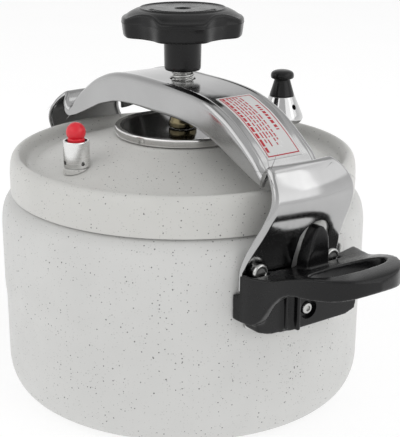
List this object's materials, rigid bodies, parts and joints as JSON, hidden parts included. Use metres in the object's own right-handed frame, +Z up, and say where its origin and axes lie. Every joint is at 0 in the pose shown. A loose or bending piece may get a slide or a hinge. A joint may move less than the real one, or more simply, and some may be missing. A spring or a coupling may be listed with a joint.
{
  "type": "pressure canner",
  "caption": "Round clamp-yoke pressure canner: pot with two side handles, domed lid with gasket, steel yoke with screw knob, regulator weight and safety plug.",
  "frame": {"origin": "centre of the pot's base, on the surface that the pot stands on", "axes": "+Z up along the pot's axis, +X towards the handle under the label plate, +Y towards the regulator weight"},
  "size_m": [0.374, 0.24, 0.25],
  "materials": {
    "pot_coat": "light grey baked coat with fine dark speckles, satin, over spun aluminium",
    "lid_coat": "light grey baked coat with fine dark speckles, satin, over spun aluminium",
    "chrome": "bright chrome plate on pressed steel",
    "steel": "turned or zinc plated steel",
    "polished_plate": "polished steel with a fine turned grain",
    "brass": "pale machined brass",
    "bright_aluminium": "bright turned aluminium",
    "bakelite": "black moulded phenolic, semi-gloss",
    "gasket_rubber": "grey moulded rubber",
    "red_silicone": "red moulded silicone, satin",
    "label_film": "white film with plain red rule lines"
  },
  "bodies": {
    "pot": {"pot_body": "pot_coat", "bracket_right": "steel", "handle_right": "bakelite", "bracket_nut_right": "steel", "handle_bolt_right": "steel", "bracket_left": "steel", "handle_left": "bakelite", "bracket_nut_left": "steel", "handle_bolt_left": "steel", "stud_right_1": "steel", "stud_right_2": "steel", "bracket_rivet_right_1": "bright_aluminium", "bracket_rivet_right_2": "bright_aluminium", "stud_left_1": "steel", "stud_left_2": "steel", "bracket_rivet_left_1": "bright_aluminium", "bracket_rivet_left_2": "bright_aluminium"},
    "lid": {"lid_shell": "lid_coat", "lid_gasket": "gasket_rubber", "pressure_disc": "polished_plate", "disc_bolt": "steel", "disc_bolt_washer": "steel", "disc_bolt_nut": "steel", "safety_valve_tube": "bright_aluminium", "safety_valve_nut": "steel", "vent_pipe": "steel", "vent_pipe_nut": "steel", "vent_strainer": "steel"},
    "safety_plug": {"safety_plug": "red_silicone"},
    "weight": {"weight_body": "chrome", "weight_cap": "bakelite"},
    "screw_pad": {"screw_foot": "brass"},
    "screw": {"screw_spindle": "steel", "screw_collar": "steel", "knob": "bakelite", "knob_washer": "steel", "knob_screw": "steel"},
    "yoke": {"yoke_bridge": "chrome", "yoke_bush": "brass", "label_plate": "label_film"}
  },
  "joints": [
    {"name": "lid_lift", "type": "slide", "parent": "pot", "child": "lid", "axis": [0, 0, 1], "range_m": [0, 0.15]},
    {"name": "safety_plug_pop", "type": "slide", "parent": "lid", "child": "safety_plug", "axis": [0, 0, 1], "range_m": [0, 0.006]},
    {"name": "weight_lift", "type": "slide", "parent": "lid", "child": "weight", "axis": [0, 0, 1], "range_m": [0, 0.03]},
    {"name": "yoke_turn", "type": "hinge", "parent": "lid", "child": "screw_pad", "pos_m": [0, 0, 0.175], "axis": [0, 0, 1], "range_deg": [-2.1, 0]},
    {"name": "knob_turn", "type": "hinge", "parent": "screw_pad", "child": "screw", "pos_m": [0, 0, 0.24], "axis": [0, 0, 1], "range_deg": [-480, 0]},
    {"name": "yoke_travel", "type": "slide", "parent": "screw_pad", "child": "yoke", "axis": [0, 0, 1], "range_m": [0, 0.0041]}
  ],
  "couplings": [
    {"joint": "yoke_travel", "follows": "knob_turn", "m_per_rad": -0.00047746}
  ]
}
